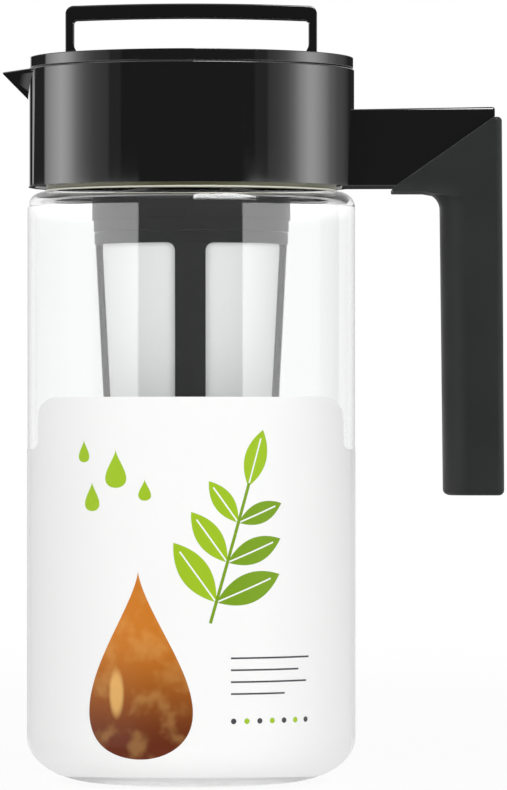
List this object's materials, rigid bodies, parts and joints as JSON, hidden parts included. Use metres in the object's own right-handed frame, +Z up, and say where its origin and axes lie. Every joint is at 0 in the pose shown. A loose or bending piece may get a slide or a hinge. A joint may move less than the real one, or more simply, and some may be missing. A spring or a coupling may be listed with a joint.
{
  "type": "iced tea maker",
  "caption": "Clear jug with a black collar, pouring beak, side handle, press-in lid with folding bail, and a mesh infuser that screws under the lid.",
  "frame": {"origin": "centre of the jug's base, on the surface that it stands on", "axes": "+Z up along the jug's axis, +X towards the handle, -X towards the pouring beak, -Y towards the label's front"},
  "size_m": [0.1467, 0.0968, 0.2279],
  "materials": {
    "clear_plastic": "clear, polished",
    "label_film": "satin printed film",
    "seal_silicone": "translucent silicone",
    "black_gloss": "high gloss",
    "grip_silicone": "matt silicone",
    "cage_plastic": "satin moulded",
    "fine_mesh": "fine woven mesh"
  },
  "bodies": {
    "pitcher": {"jar": "clear_plastic", "label_sleeve": "label_film", "collar_seal": "seal_silicone", "collar": "black_gloss", "handle_grip": "grip_silicone"},
    "gasket": {"lid_gasket": "seal_silicone"},
    "lid": {"lid_top": "black_gloss", "lid_plug": "cage_plastic"},
    "bail": {"bail": "black_gloss"},
    "washer": {"infuser_washer": "seal_silicone"},
    "infuser": {"infuser_frame": "cage_plastic", "base_screen": "fine_mesh", "mesh_panel_1": "fine_mesh", "mesh_panel_2": "fine_mesh", "mesh_panel_3": "fine_mesh", "mesh_panel_4": "fine_mesh"}
  },
  "joints": [
    {"name": "lid_lift", "type": "slide", "parent": "pitcher", "child": "gasket", "axis": [0, 0, 1], "range_m": [0, 0.19]},
    {"name": "lid_turn", "type": "hinge", "parent": "gasket", "child": "lid", "pos_m": [0, 0, 0.2], "axis": [0, 0, 1], "continuous": true},
    {"name": "bail_fold", "type": "hinge", "parent": "lid", "child": "bail", "pos_m": [0, 0, 0.209], "axis": [-1, 0, 0], "range_deg": [0, 90]},
    {"name": "infuser_drop", "type": "slide", "parent": "lid", "child": "washer", "axis": [0, 0, -1], "range_m": [0, 0.0041]},
    {"name": "infuser_turn", "type": "hinge", "parent": "washer", "child": "infuser", "pos_m": [0, 0, 0.16], "axis": [0, 0, -1], "range_deg": [0, 180]}
  ],
  "couplings": [
    {"joint": "infuser_drop", "follows": "infuser_turn", "m_per_rad": 0.0012732}
  ]
}
